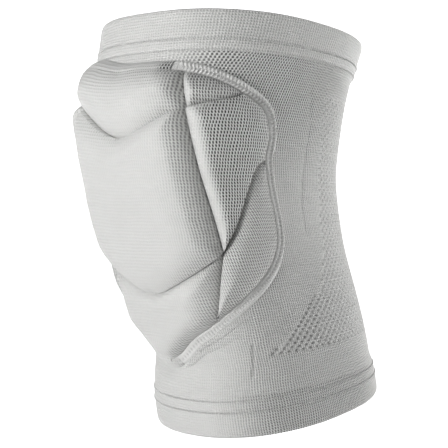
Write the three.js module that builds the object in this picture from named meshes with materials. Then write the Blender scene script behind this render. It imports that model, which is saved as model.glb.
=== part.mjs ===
// Volleyball knee pad in its worn shape: a knitted sleeve between two hemmed cuffs, with a front pad of
// nine foam lobes inside a raised welt. Millimetres and degrees, +Z up the leg, +Y to the back of the
// knee, the origin at the middle of the leg opening at half height.
import * as THREE from "three";

// Sleeve and cuffs
const SLEEVE_HEIGHT = 200; // lower rim to upper rim, along the leg
const KNEE_DEPTH = 120; // outside of the knit, front to back at the knee
const SHIN_SETBACK = 34; // how far the lower rim lies behind the knee
const UPPER_TILT = 4; // the upper rim rises this much towards the front
const LOWER_TILT = -11.3; // and the lower rim drops
const SQUARENESS = 2.3; // exponent of the rounded section, 2 is an ellipse
const KNIT_WALL = 2;
const CUFF_HEIGHT = 20;
const HEM_PROUD = 0.9; // the folded hem stands this far out of the knit
const RIDGE_PROUD = 1.4; // and the ridge where it is sewn on, this far
const RIDGE_HEIGHT = 4.5;
const RIDGE_CREST = 0.35; // share of RIDGE_HEIGHT from the knit to its crest
const GROOVE_END = 1.4; // and to where the groove behind the ridge has come up again
const RIM_ROUND = 3.5; // the fold at the rim draws in over this height
const RIM_DRAWN_IN = 1.2;
const LEFT_RISE = 2.6; // the sleeve rides up on its left side, by this much
const RISE_MIDDLE = -60; // angle from the front where it rides up the most

// Pad
const PAD_BELOW_CUFF = 6; // upper cuff to the top of the welt
const PAD_ABOVE_CUFF = 14; // lower cuff to the welt's lower tip
const PAD_WRAP = 71; // from the front to the welt at its widest
const PAD_THICKNESS = 15.6;
const LOBE_ROLL = 9; // how far in from a crease a lobe has rounded over
const LONGEST_ROLL = 0.5; // share of the way to a lobe's middle that the roll may take
const WELT_WIDTH = 4.6;
const WELT_HEIGHT = 2.2;
// The pad is worn a little askew: its lower tip swings to the left and spreads that way, and its left half
// is pulled taller.
const TIP_SWING = 8;
const SWING_UP = 0.35; // share of PAD_HEIGHT where the swing has died out
const LEFT_STRETCH = 0.055; // share of the height above or below STRETCH_UP
const STRETCH_UP = 0.36; // share of PAD_HEIGHT that stays where it is
const ASKEW_OVER = 30; // distance from the middle line over which both fade
const LEFT_LIFT = 4; // the top of its left side sits this much closer to the cuff
const LIFT_FROM = 50; // distance from the middle line where the lift is whole
const LIFT_UP = [0.88, 0.97]; // shares of PAD_HEIGHT where the lift starts and is whole
const LEFT_SPREAD = 1.1; // the left half is this much wider at its tip, as a share
const SPREAD_UP = 0.3; // share of PAD_HEIGHT where the spread has died out

// Clearances
const SEAM_GAP = 0.4; // between sewn pieces that meet edge to edge
const SEAT_GAP = 0.7; // between the pad and the knit that carries it

const PAD_HEIGHT = SLEEVE_HEIGHT - 2 * CUFF_HEIGHT - PAD_BELOW_CUFF - PAD_ABOVE_CUFF;
const PAD_RISE = CUFF_HEIGHT + PAD_ABOVE_CUFF; // lower rim to the lower tip of the welt
const NOMINAL_RADIUS = KNEE_DEPTH / 2;

// Sections of the sleeve, from the lower rim. at: share of SLEEVE_HEIGHT. back: the middle's place, share
// of SHIN_SETBACK. depth: share of KNEE_DEPTH. wide: width over depth. front: front half over back half.
const SECTIONS = [
  { at: 0.0, back: 1.0, depth: 1.005, wide: 0.93, front: 1.0 },
  { at: 0.12, back: 0.83, depth: 0.995, wide: 0.93, front: 0.95 },
  { at: 0.17, back: 0.785, depth: 0.98, wide: 0.93, front: 0.93 },
  { at: 0.3, back: 0.53, depth: 0.98, wide: 0.93, front: 0.95 },
  { at: 0.45, back: 0.155, depth: 0.985, wide: 0.94, front: 0.96 },
  { at: 0.6, back: -0.075, depth: 1.01, wide: 0.95, front: 0.97 },
  { at: 0.75, back: -0.12, depth: 1.065, wide: 0.96, front: 0.98 },
  { at: 0.88, back: -0.035, depth: 1.105, wide: 0.97, front: 0.96 },
  { at: 1.0, back: 0.18, depth: 1.128, wide: 0.98, front: 1.0 },
];

// Thickness of the pad, in shares of PAD_THICKNESS: along its height and across its wrap.
const THICK_ALONG = [
  { up: 0.0, thick: 0.85 },
  { up: 0.15, thick: 0.88 },
  { up: 0.3, thick: 0.86 },
  { up: 0.5, thick: 0.88 },
  { up: 0.7, thick: 0.95 },
  { up: 0.85, thick: 1.02 },
  { up: 1.0, thick: 1.0 },
];
const THICK_ACROSS = [
  { wrap: 0.0, thick: 0.88 },
  { wrap: 0.42, thick: 1.0 },
  { wrap: 0.6, thick: 0.86 },
  { wrap: 0.75, thick: 0.62 },
  { wrap: 0.9, thick: 0.38 },
  { wrap: 1.05, thick: 0.2 },
];

// Height left in each seam, as a share of the thickness there.
const CREASES = {
  welt: 0.35,
  weltTop: 0.5,
  topSide: 0.6,
  topVee: 0.55,
  upperFold: 0.5,
  sideInner: 0.3,
  sideOuter: 0.4,
  centreVee: 0.6,
  lowFold: 0.35,
};

// Seams on the right half of the pad. wrap: share of PAD_WRAP. up: share of PAD_HEIGHT above its tip.
// meets: the seam that joins the welt there, or its end.
const SEAMS = {
  welt: [
    { wrap: 0.0, up: 1.0, meets: "top" },
    { wrap: 0.25, up: 0.998 },
    { wrap: 0.42, up: 0.992, meets: "topSide" },
    { wrap: 0.6, up: 0.967 },
    { wrap: 0.8, up: 0.915, meets: "upperFold" },
    { wrap: 0.94, up: 0.855 },
    { wrap: 0.985, up: 0.77 },
    { wrap: 0.965, up: 0.69, meets: "sideOuter" },
    { wrap: 0.98, up: 0.59 },
    { wrap: 1.0, up: 0.48 },
    { wrap: 0.98, up: 0.4 },
    { wrap: 0.9, up: 0.33 },
    { wrap: 0.76, up: 0.262 },
    { wrap: 0.58, up: 0.197 },
    { wrap: 0.39, up: 0.137, meets: "lowFold" },
    { wrap: 0.21, up: 0.08 },
    { wrap: 0.11, up: 0.03 },
    { wrap: 0.04, up: 0.006 },
    { wrap: 0.0, up: 0.0, meets: "tip" },
  ],
  topSide: [
    { wrap: 0.455, up: 0.85 },
    { wrap: 0.432, up: 0.92 },
    { wrap: 0.42, up: 0.992 },
  ],
  topVee: [
    { wrap: 0.0, up: 0.763 },
    { wrap: 0.08, up: 0.768 },
    { wrap: 0.2, up: 0.79 },
    { wrap: 0.385, up: 0.836 },
    { wrap: 0.455, up: 0.85 },
  ],
  upperFold: [
    { wrap: 0.455, up: 0.85 },
    { wrap: 0.585, up: 0.868 },
    { wrap: 0.72, up: 0.887 },
    { wrap: 0.8, up: 0.915 },
  ],
  sideInner: [
    { wrap: 0.455, up: 0.85 },
    { wrap: 0.51, up: 0.677 },
    { wrap: 0.56, up: 0.51 },
    { wrap: 0.575, up: 0.386 },
  ],
  sideOuter: [
    { wrap: 0.965, up: 0.69 },
    { wrap: 0.86, up: 0.665 },
    { wrap: 0.79, up: 0.59 },
    { wrap: 0.69, up: 0.476 },
    { wrap: 0.575, up: 0.386 },
  ],
  centreVee: [
    { wrap: 0.0, up: 0.252 },
    { wrap: 0.09, up: 0.258 },
    { wrap: 0.28, up: 0.3 },
    { wrap: 0.48, up: 0.352 },
    { wrap: 0.575, up: 0.386 },
  ],
  lowFold: [
    { wrap: 0.575, up: 0.386 },
    { wrap: 0.505, up: 0.29 },
    { wrap: 0.45, up: 0.215 },
    { wrap: 0.39, up: 0.137 },
  ],
};

// Mesh fineness
const AROUND = 52; // facets round the sleeve
const SLEEVE_ROWS = 14;
const WELT_SIDES = 6;
const EDGE_STEP = 8.5; // longest step along a seam
// Rings of a lobe where it rolls over, as shares of LOBE_ROLL from its edge, and the step of those inside.
const FACE_RINGS = [0, 0.2, 0.5, 1];
const BACK_RINGS = [0, 1];
const INNER_STEP = 12;
const NEARLY_STRAIGHT = 0.05; // sine of a bend in an outline that counts as none

const knit = new THREE.MeshStandardMaterial({ color: 0xe4e4e2, roughness: 0.92, metalness: 0 });
const rib = new THREE.MeshStandardMaterial({ color: 0xe0e0de, roughness: 0.9, metalness: 0 });
const padCover = new THREE.MeshStandardMaterial({ color: 0xe8e8e6, roughness: 0.88, metalness: 0 });

// One column of a table at a place, on a smooth curve through its rows.
function smoothAt(table, place, column, value) {
  const last = table.length - 1;
  const at = THREE.MathUtils.clamp(value, table[0][place], table[last][place]);
  let i = 0;
  while (i < last - 1 && at > table[i + 1][place]) i += 1;
  const slope = (a, b) => (table[b][column] - table[a][column]) / (table[b][place] - table[a][place]);
  const step = table[i + 1][place] - table[i][place];
  const t = (at - table[i][place]) / step;
  const slopeIn = slope(Math.max(i - 1, 0), i + 1) * step;
  const slopeOut = slope(i, Math.min(i + 2, last)) * step;
  const t2 = t * t;
  const t3 = t2 * t;
  return (
    (2 * t3 - 3 * t2 + 1) * table[i][column] +
    (t3 - 2 * t2 + t) * slopeIn +
    (3 * t2 - 2 * t3) * table[i + 1][column] +
    (t3 - t2) * slopeOut
  );
}

const sectionValue = (at, column) => smoothAt(SECTIONS, "at", column, at);
const MID_BACK = sectionValue(0.5, "back");

// The point on the sleeve at an angle from the front and a height above the lower rim, moved out of it.
function onSleeve(angle, height, out) {
  const at = height / SLEEVE_HEIGHT;
  const halfDepth = (sectionValue(at, "depth") * KNEE_DEPTH) / 2;
  const halfWidth = halfDepth * sectionValue(at, "wide");
  const ahead = Math.cos(angle) > 0 ? halfDepth * sectionValue(at, "front") : halfDepth;
  const sideways = Math.sin(angle);
  const forwards = Math.cos(angle);
  const radius =
    (Math.abs(sideways / halfWidth) ** SQUARENESS + Math.abs(forwards / ahead) ** SQUARENESS) **
    (-1 / SQUARENESS);
  const flat = new THREE.Vector2(sideways, forwards).multiplyScalar(radius);
  const normal = new THREE.Vector2(
    Math.sign(flat.x) * (Math.abs(flat.x / halfWidth) ** (SQUARENESS - 1) / halfWidth),
    Math.sign(flat.y) * (Math.abs(flat.y / ahead) ** (SQUARENESS - 1) / ahead),
  ).normalize();
  flat.addScaledVector(normal, out);
  const tilt = THREE.MathUtils.degToRad(THREE.MathUtils.lerp(LOWER_TILT, UPPER_TILT, at));
  const rise = LEFT_RISE * Math.max(0, Math.cos(angle - THREE.MathUtils.degToRad(RISE_MIDDLE))) ** 2;
  return new THREE.Vector3(
    flat.x,
    (sectionValue(at, "back") - MID_BACK) * SHIN_SETBACK - flat.y * Math.cos(tilt),
    (at - 0.5) * SLEEVE_HEIGHT + flat.y * Math.sin(tilt) + rise,
  );
}

// A triangle mesh as a geometry whose faces point out.
function closedGeometry(points, triangles) {
  const geometry = new THREE.BufferGeometry().setFromPoints(points);
  const cross = new THREE.Vector3();
  const volume = triangles.reduce(
    (sum, [a, b, c]) => sum + cross.crossVectors(points[b], points[c]).dot(points[a]),
    0,
  );
  const facing = volume > 0 ? triangles : triangles.map(([a, b, c]) => [a, c, b]);
  geometry.setIndex(facing.flat());
  geometry.computeVertexNormals();
  return geometry;
}

// A solid ring: the same closed profile at each station of a closed loop.
function ringGeometry(stations) {
  const sides = stations[0].length;
  const triangles = [];
  stations.forEach((_, i) => {
    const here = i * sides;
    const next = ((i + 1) % stations.length) * sides;
    for (let j = 0; j < sides; j += 1) {
      const k = (j + 1) % sides;
      triangles.push([here + j, next + j, next + k], [here + j, next + k, here + k]);
    }
  });
  return closedGeometry(stations.flat(), triangles);
}

// A band of the sleeve, turned round the leg from a profile of heights and offsets.
function bandGeometry(profile) {
  const stations = Array.from({ length: AROUND }, (_, i) => {
    const angle = (i / AROUND) * 2 * Math.PI;
    return profile.map(({ height, out }) => onSleeve(angle, height, out));
  });
  return ringGeometry(stations);
}

function sleeveGeometry() {
  const low = CUFF_HEIGHT + SEAM_GAP;
  const high = SLEEVE_HEIGHT - CUFF_HEIGHT - SEAM_GAP;
  const heights = Array.from({ length: SLEEVE_ROWS + 1 }, (_, i) =>
    THREE.MathUtils.lerp(low, high, i / SLEEVE_ROWS),
  );
  const outside = heights.map((height) => ({ height, out: 0 }));
  const inside = heights.map((height) => ({ height, out: -KNIT_WALL })).reverse();
  return bandGeometry([...outside, ...inside]);
}

// A folded hem: a band that rounds over at the rim, and a sewn ridge and groove where it meets the knit.
function cuffGeometry(rimHeight, inwards) {
  const rows = [
    { in: CUFF_HEIGHT, out: 0 },
    { in: CUFF_HEIGHT - RIDGE_HEIGHT * RIDGE_CREST, out: RIDGE_PROUD },
    { in: CUFF_HEIGHT - RIDGE_HEIGHT, out: HEM_PROUD / 2 },
    { in: CUFF_HEIGHT - RIDGE_HEIGHT * GROOVE_END, out: HEM_PROUD },
    { in: RIM_ROUND, out: HEM_PROUD },
    { in: RIM_ROUND / 4, out: HEM_PROUD - RIM_DRAWN_IN / 3 },
    { in: 0, out: HEM_PROUD - RIM_DRAWN_IN },
    { in: RIM_ROUND / 4, out: -KNIT_WALL - RIM_DRAWN_IN / 4 },
    { in: RIM_ROUND, out: -KNIT_WALL },
    { in: CUFF_HEIGHT / 2, out: -KNIT_WALL },
    { in: CUFF_HEIGHT, out: -KNIT_WALL },
  ];
  return bandGeometry(rows.map((row) => ({ height: rimHeight + inwards * row.in, out: row.out })));
}

// The unrolled sleeve: x is the arc from the front line at the nominal radius, y the height.
const unrolled = ({ wrap, up }) =>
  new THREE.Vector2(
    wrap * THREE.MathUtils.degToRad(PAD_WRAP) * NOMINAL_RADIUS,
    PAD_RISE + up * PAD_HEIGHT,
  );

const upOf = (flat) => (flat.y - PAD_RISE) / PAD_HEIGHT;

// The same place on the worn sleeve, moved out of it.
function raised(flat, out) {
  const up = upOf(flat);
  const swing = 1 - THREE.MathUtils.smoothstep(flat.x, 0, ASKEW_OVER);
  const stretch = 1 - THREE.MathUtils.smoothstep(flat.x, -ASKEW_OVER, 0);
  const spread = LEFT_SPREAD * Math.max(0, 1 - Math.max(up, 0) / SPREAD_UP) ** 2;
  const x =
    flat.x + Math.min(flat.x, 0) * spread - swing * TIP_SWING * Math.max(0, 1 - up / SWING_UP);
  const lift =
    THREE.MathUtils.smoothstep(-flat.x, ASKEW_OVER, LIFT_FROM) * THREE.MathUtils.smoothstep(up, ...LIFT_UP);
  const y = flat.y + stretch * LEFT_STRETCH * (up - STRETCH_UP) * PAD_HEIGHT + lift * LEFT_LIFT;
  return onSleeve(x / NOMINAL_RADIUS, y, out);
}
const mirrored = (points) => points.map((p) => new THREE.Vector2(-p.x, p.y)).reverse();

const CURVES = Object.fromEntries(
  Object.entries(SEAMS).map(([name, rows]) => [name, new THREE.SplineCurve(rows.map(unrolled))]),
);

// Points of a seam between two of its rows.
function run(name, from = 0, to = SEAMS[name].length - 1) {
  const curve = CURVES[name];
  const rows = SEAMS[name].length - 1;
  const points = [];
  for (let row = from; row < to; row += 1) {
    const steps = Math.ceil(curve.points[row].distanceTo(curve.points[row + 1]) / EDGE_STEP);
    for (let i = 0; i < steps; i += 1) points.push(curve.getPoint((row + i / steps) / rows));
  }
  points.push(curve.getPoint(to / rows));
  return points;
}

// How thick the pad is at a place of the unrolled sleeve.
function padThickness(flat) {
  const wrap = Math.abs(flat.x) / NOMINAL_RADIUS / THREE.MathUtils.degToRad(PAD_WRAP);
  return (
    PAD_THICKNESS *
    smoothAt(THICK_ALONG, "up", "thick", upOf(flat)) *
    smoothAt(THICK_ACROSS, "wrap", "thick", wrap)
  );
}

// A closed outline moved in from its sides, each by its own distance.
function insetOutline(sides) {
  const edges = sides.flatMap(({ points, inset, crease }) =>
    points.slice(1).map((end, i) => ({ start: points[i], end, inset, crease })),
  );
  const area = edges.reduce((sum, { start, end }) => sum + start.cross(end), 0);
  const moved = edges.map(({ start, end, inset }) => {
    const along = end.clone().sub(start).normalize();
    const inwards = new THREE.Vector2(-along.y, along.x).multiplyScalar(Math.sign(area) * inset);
    return { start: start.clone().add(inwards), along, inwards };
  });
  return edges.map(({ start, crease }, i) => {
    const behind = (i + edges.length - 1) % edges.length;
    const before = moved[behind];
    const after = moved[i];
    const turn = before.along.cross(after.along);
    const level = (crease + edges[behind].crease) / 2;
    if (Math.abs(turn) < NEARLY_STRAIGHT) return { flat: start.clone().add(after.inwards), level };
    const reach = after.start.clone().sub(before.start).cross(after.along) / turn;
    return { flat: before.start.clone().addScaledVector(before.along, reach), level };
  });
}

// A lobe of the pad: a face that rolls over at its edge, a back that follows the knit, and a side wall.
function lobeGeometry({ sides, middle, lift }) {
  const outline = insetOutline(sides);
  const centre = unrolled(middle);
  const count = outline.length;
  const points = [];
  const triangles = [];
  const rolled = (share) => Math.sqrt(1 - (1 - share) ** 2);
  const faceOut = (flat, share, level) =>
    SEAT_GAP + padThickness(flat) * lift * THREE.MathUtils.lerp(level, 1, rolled(share));

  const addRing = (share, depth, outAt) => {
    outline.forEach((edge) => {
      const reach = Math.min(LONGEST_ROLL, LOBE_ROLL / edge.flat.distanceTo(centre));
      const flat = edge.flat.clone().lerp(centre, THREE.MathUtils.lerp(reach * share, 1, depth));
      points.push(raised(flat, outAt(flat, share, edge.level)));
    });
    return points.length - count;
  };
  // Two rings are joined by quads, each cut along its shorter diagonal.
  const join = (a, b) => {
    for (let i = 0; i < count; i += 1) {
      const j = (i + 1) % count;
      const one = points[a + i].distanceTo(points[b + j]);
      const other = points[a + j].distanceTo(points[b + i]);
      if (one < other) triangles.push([a + i, a + j, b + j], [a + i, b + j, b + i]);
      else triangles.push([a + i, a + j, b + i], [a + j, b + j, b + i]);
    }
  };
  const cap = (ring, out) => {
    points.push(raised(centre, out));
    for (let i = 0; i < count; i += 1) {
      triangles.push([ring + i, ring + ((i + 1) % count), points.length - 1]);
    }
  };

  const widest = Math.max(...outline.map((edge) => edge.flat.distanceTo(centre))) - LOBE_ROLL;
  const steps = Math.ceil(widest / INNER_STEP);
  const depths = Array.from({ length: steps - 1 }, (_, i) => (i + 1) / steps);
  const seat = () => SEAT_GAP;
  const face = FACE_RINGS.map((share) => addRing(share, 0, faceOut));
  face.push(...depths.map((depth) => addRing(1, depth, faceOut)));
  face.slice(1).forEach((ring, i) => join(face[i], ring));
  cap(face.at(-1), faceOut(centre, 1, 1));
  const frontTriangles = triangles.length;
  const rear = BACK_RINGS.map((share) => addRing(share, 0, seat));
  rear.push(...depths.map((depth) => addRing(1, depth, seat)));
  rear.slice(1).forEach((ring, i) => join(rear[i], ring));
  cap(rear.at(-1), SEAT_GAP);
  join(rear[0], face[0]);
  for (let i = frontTriangles; i < triangles.length - 2 * count; i += 1) triangles[i].reverse();
  return closedGeometry(points, triangles);
}

// The raised welt round the pad, a flat cord sewn under the cover.
function weltGeometry() {
  const half = run("welt");
  const loop = [...half, ...mirrored(half).slice(1, -1)];
  const middles = loop.map((flat) => raised(flat, SEAT_GAP + WELT_HEIGHT / 2));
  const stations = middles.map((middle, i) => {
    const ahead = middles[(i + 1) % middles.length];
    const behind = middles[(i + middles.length - 1) % middles.length];
    const along = ahead.clone().sub(behind).normalize();
    const outwards = middle.clone().sub(raised(loop[i], 0)).normalize();
    const across = along.clone().cross(outwards).normalize();
    return Array.from({ length: WELT_SIDES }, (_, j) => {
      const angle = (j / WELT_SIDES) * 2 * Math.PI;
      return middle
        .clone()
        .addScaledVector(outwards, (WELT_HEIGHT / 2) * Math.sin(angle))
        .addScaledVector(across, (WELT_WIDTH / 2) * Math.cos(angle));
    });
  });
  return ringGeometry(stations);
}

// A side of a lobe: along a seam, or beside the welt.
const seam = (name) => ({ points: run(name), inset: SEAM_GAP / 2, crease: CREASES[name] });
const weltRow = (name) => SEAMS.welt.findIndex(({ meets }) => meets === name);
const atWelt = (from, to, crease = CREASES.welt) => ({
  points: run("welt", weltRow(from), weltRow(to)),
  inset: WELT_WIDTH / 2 + SEAM_GAP,
  crease,
});
const turned = (side) => ({ ...side, points: [...side.points].reverse() });
// A lobe across the front line is closed by the mirrored half of its sides.
const mirroredSides = (sides) =>
  [...sides].reverse().map((side) => ({ ...side, points: mirrored(side.points) }));
const acrossFront = (sides) => [...sides, ...mirroredSides(sides)];

const FRONT_LOBES = [
  {
    name: "pad_top",
    lift: 0.92,
    middle: { wrap: 0, up: 0.89 },
    sides: acrossFront([
      atWelt("top", "topSide", CREASES.weltTop),
      turned(seam("topSide")),
      turned(seam("topVee")),
    ]),
  },
  {
    name: "pad_centre",
    lift: 1,
    middle: { wrap: 0, up: 0.54 },
    sides: acrossFront([seam("topVee"), seam("sideInner"), turned(seam("centreVee"))]),
  },
  {
    name: "pad_bottom",
    lift: 0.82,
    middle: { wrap: 0, up: 0.17 },
    sides: acrossFront([
      seam("centreVee"),
      seam("lowFold"),
      atWelt("lowFold", "tip"),
    ]),
  },
];
const SIDE_LOBES = [
  {
    name: "pad_upper",
    lift: 0.72,
    middle: { wrap: 0.56, up: 0.915 },
    sides: [
      seam("topSide"),
      atWelt("topSide", "upperFold", CREASES.weltTop),
      turned(seam("upperFold")),
    ],
  },
  {
    name: "pad_side",
    lift: 0.92,
    middle: { wrap: 0.69, up: 0.71 },
    sides: [
      seam("upperFold"),
      atWelt("upperFold", "sideOuter"),
      seam("sideOuter"),
      turned(seam("sideInner")),
    ],
  },
  {
    name: "pad_lower",
    lift: 0.85,
    middle: { wrap: 0.75, up: 0.39 },
    sides: [
      turned(seam("sideOuter")),
      atWelt("sideOuter", "lowFold"),
      turned(seam("lowFold")),
    ],
  },
];

function piece(name, geometry, material) {
  const mesh = new THREE.Mesh(geometry, material);
  mesh.name = name;
  return mesh;
}

const kneePad = new THREE.Group();
kneePad.add(
  piece("sleeve", sleeveGeometry(), knit),
  piece("top_cuff", cuffGeometry(SLEEVE_HEIGHT, -1), rib),
  piece("bottom_cuff", cuffGeometry(0, 1), rib),
  piece("pad_welt", weltGeometry(), padCover),
);
FRONT_LOBES.forEach((lobe) => kneePad.add(piece(lobe.name, lobeGeometry(lobe), padCover)));
SIDE_LOBES.forEach((lobe) => {
  const left = {
    middle: { ...lobe.middle, wrap: -lobe.middle.wrap },
    lift: lobe.lift,
    sides: mirroredSides(lobe.sides),
  };
  kneePad.add(
    piece(`${lobe.name}_right`, lobeGeometry(lobe), padCover),
    piece(`${lobe.name}_left`, lobeGeometry(left), padCover),
  );
});

export default kneePad;
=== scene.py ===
"""Looks of the volleyball knee pad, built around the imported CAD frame.

Every piece follows the sleeve's surface: an angle from the front, a height above the lower rim and a
distance out of the knit, in millimetres, as the part's source has them. Meshes are made in metres.
"""

import math

import bmesh
import bpy
import numpy as np
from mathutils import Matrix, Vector


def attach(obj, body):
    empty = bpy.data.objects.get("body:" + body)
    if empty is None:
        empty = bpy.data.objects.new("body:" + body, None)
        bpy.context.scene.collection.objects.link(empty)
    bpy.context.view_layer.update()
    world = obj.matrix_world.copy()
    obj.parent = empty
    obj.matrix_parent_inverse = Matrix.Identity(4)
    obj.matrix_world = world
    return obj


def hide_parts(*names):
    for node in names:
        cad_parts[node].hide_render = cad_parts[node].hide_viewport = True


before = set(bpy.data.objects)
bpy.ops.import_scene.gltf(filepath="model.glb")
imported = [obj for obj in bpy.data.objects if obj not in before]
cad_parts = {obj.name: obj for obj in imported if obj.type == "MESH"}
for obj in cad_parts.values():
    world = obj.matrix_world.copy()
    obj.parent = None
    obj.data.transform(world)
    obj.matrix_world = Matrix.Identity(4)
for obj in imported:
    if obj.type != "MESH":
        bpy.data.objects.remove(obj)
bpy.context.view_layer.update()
MM = 0.001
TURN = 2 * math.pi

# Sleeve and cuffs
SLEEVE_HEIGHT = 200
KNEE_DEPTH = 120
SHIN_SETBACK = 34
UPPER_TILT = math.radians(4)
LOWER_TILT = math.radians(-11.3)
SQUARENESS = 2.3
KNIT_WALL = 2
CUFF_HEIGHT = 20
LEFT_RISE = 2.6
RISE_MIDDLE = math.radians(-60)

# Pad
PAD_BELOW_CUFF = 6
PAD_ABOVE_CUFF = 14
PAD_WRAP = math.radians(71)
PAD_THICKNESS = 15.6
WELT_WIDTH = 4.6
SEAM_GAP = 0.08
SEAT_GAP = 0.5  # where the back of the covers lies, out of the knit

# The pad as worn, a little askew: its tip swings left, and its left half stretches, lifts and spreads
TIP_SWING = 8
SWING_UP = 0.35
LEFT_STRETCH = 0.055
STRETCH_UP = 0.36
ASKEW_OVER = 30
LEFT_LIFT = 4
LIFT_FROM = 50
LIFT_UP = (0.88, 0.97)
LEFT_SPREAD = 1.1
SPREAD_UP = 0.3

PAD_HEIGHT = SLEEVE_HEIGHT - 2 * CUFF_HEIGHT - PAD_BELOW_CUFF - PAD_ABOVE_CUFF
PAD_RISE = CUFF_HEIGHT + PAD_ABOVE_CUFF
NOMINAL_RADIUS = KNEE_DEPTH / 2
PAD_REACH = PAD_WRAP * NOMINAL_RADIUS

# Sections of the sleeve: share of its height, setback of the middle, depth, width over depth, front share
SECTIONS = np.array([
    (0.0, 1.0, 1.005, 0.93, 1.0),
    (0.12, 0.83, 0.995, 0.93, 0.95),
    (0.17, 0.785, 0.98, 0.93, 0.93),
    (0.3, 0.53, 0.98, 0.93, 0.95),
    (0.45, 0.155, 0.985, 0.94, 0.96),
    (0.6, -0.075, 1.01, 0.95, 0.97),
    (0.75, -0.12, 1.065, 0.96, 0.98),
    (0.88, -0.035, 1.105, 0.97, 0.96),
    (1.0, 0.18, 1.128, 0.98, 1.0),
])
BACK, DEPTH, WIDE, FRONT = range(1, 5)

# Thickness of the pad in shares of PAD_THICKNESS: up its height, and across its wrap
THICK_ALONG = np.array([
    (0.0, 0.85), (0.15, 0.88), (0.3, 0.86), (0.5, 0.88), (0.7, 0.95), (0.85, 1.02), (1.0, 1.0),
])
THICK_ACROSS = np.array([
    (0.0, 0.88), (0.42, 1.0), (0.6, 0.86), (0.75, 0.62), (0.9, 0.38), (1.05, 0.2),
])

# Seams on the right half of the pad, as (share of PAD_WRAP, share of PAD_HEIGHT)
SEAMS = {
    "welt": [
        (0.0, 1.0), (0.25, 0.998), (0.42, 0.992), (0.6, 0.967), (0.8, 0.915), (0.94, 0.855), (0.985, 0.77),
        (0.965, 0.69), (0.98, 0.59), (1.0, 0.48), (0.98, 0.4), (0.9, 0.33), (0.76, 0.262), (0.58, 0.197),
        (0.39, 0.137), (0.21, 0.08), (0.11, 0.03), (0.04, 0.006), (0.0, 0.0),
    ],
    "topSide": [(0.455, 0.85), (0.432, 0.92), (0.42, 0.992)],
    "topVee": [(0.0, 0.763), (0.08, 0.768), (0.2, 0.79), (0.385, 0.836), (0.455, 0.85)],
    "upperFold": [(0.455, 0.85), (0.585, 0.868), (0.72, 0.887), (0.8, 0.915)],
    "sideInner": [(0.455, 0.85), (0.51, 0.677), (0.56, 0.51), (0.575, 0.386)],
    "sideOuter": [(0.965, 0.69), (0.86, 0.665), (0.79, 0.59), (0.69, 0.476), (0.575, 0.386)],
    "centreVee": [(0.0, 0.252), (0.09, 0.258), (0.28, 0.3), (0.48, 0.352), (0.575, 0.386)],
    "lowFold": [(0.575, 0.386), (0.505, 0.29), (0.45, 0.215), (0.39, 0.137)],
}
# Rows of the welt where a seam inside the pad meets it
WELT_ROWS = {"top": 0, "topSide": 2, "upperFold": 4, "sideOuter": 7, "lowFold": 14, "tip": 18}

# Each lobe: its middle, its fullness and its sides. A side along a seam is the seam, the height left in
# it, how far in the cover rolls over, how much painted shade darkens the crease, and whether it runs
# backwards. A side along the welt is its two ends.
FRONT_LOBES = {
    "pad_top": ((0, 0.89), 0.92, [
        ("top", "topSide"), ("topSide", 0.3, 9, 0.2, True), ("topVee", 0.5, 16, 0.0, True),
    ]),
    "pad_centre": ((0, 0.54), 1.0, [
        ("topVee", 0.68, 8, 0.0, False), ("sideInner", 0.1, 11.5, 0.7, False),
        ("centreVee", 0.62, 11, 0.1, True),
    ]),
    "pad_bottom": ((0, 0.17), 0.82, [
        ("centreVee", 0.55, 9, 0.15, False), ("lowFold", 0.16, 15, 0.35, False), ("lowFold", "tip"),
    ]),
}
SIDE_LOBES = {
    "pad_upper": ((0.56, 0.915), 0.72, [
        ("topSide", 0.35, 6, 0.15, False), ("topSide", "upperFold"), ("upperFold", 0.4, 8, 0.3, True),
    ]),
    "pad_side": ((0.69, 0.71), 0.92, [
        ("upperFold", 0.68, 7, 0.05, False), ("upperFold", "sideOuter"), ("sideOuter", 0.74, 5, 0.0, False),
        ("sideInner", 0.5, 8, 0.3, True),
    ]),
    "pad_lower": ((0.75, 0.39), 0.85, [
        ("sideOuter", 0.12, 9, 0.4, True), ("sideOuter", "lowFold"), ("lowFold", 0.5, 8, 0.1, True),
    ]),
}
# How far in a cover rolls over beside the welt, and beside its tip
WELT_SIDE_ROLL = 11
TIP_SIDE_ROLL = 8

# Knit: pitch of its columns and rows of stitches, and its UV map
WALE = 1.36
COURSE = 1.28
CLOTH_MAP = "cloth"

# The holes between the stitches show faintest where the cloth faces this far left of the front, or straight
# away, and darker as it turns across that: painted shade for the relief on cloth turned from the light,
# partly also the stitches opening round the sides. They stay faint where the cloth faces up or down.
FAINT_DASH_TURN = math.radians(15)
SHADED_TO_FAINT = (0.45, 0.93)
UPRIGHT = (0.2, 0.6)

SEAM_STEP = 1.1
WAVE_COUNT = 6


def smooth_at(table, value, column=1):
    """One column of a table at each value of its first column, on a smooth curve through its rows."""
    x, y = table[:, 0], table[:, column]
    value = np.clip(value, x[0], x[-1])
    i = np.clip(np.searchsorted(x, value, side="right") - 1, 0, len(x) - 2)
    before = np.maximum(i - 1, 0)
    after = np.minimum(i + 2, len(x) - 1)
    step = x[i + 1] - x[i]
    t = (value - x[i]) / step
    slope_in = (y[i + 1] - y[before]) / (x[i + 1] - x[before]) * step
    slope_out = (y[after] - y[i]) / (x[after] - x[i]) * step
    return (
        (2 * t**3 - 3 * t**2 + 1) * y[i]
        + (t**3 - 2 * t**2 + t) * slope_in
        + (3 * t**2 - 2 * t**3) * y[i + 1]
        + (t**3 - t**2) * slope_out
    )


def ramp(value, start, end):
    """0 at start and 1 at end, smooth between."""
    t = np.clip((value - start) / (end - start), 0, 1)
    return t * t * (3 - 2 * t)


MID_BACK = float(smooth_at(SECTIONS, np.array(0.5), BACK))


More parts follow.
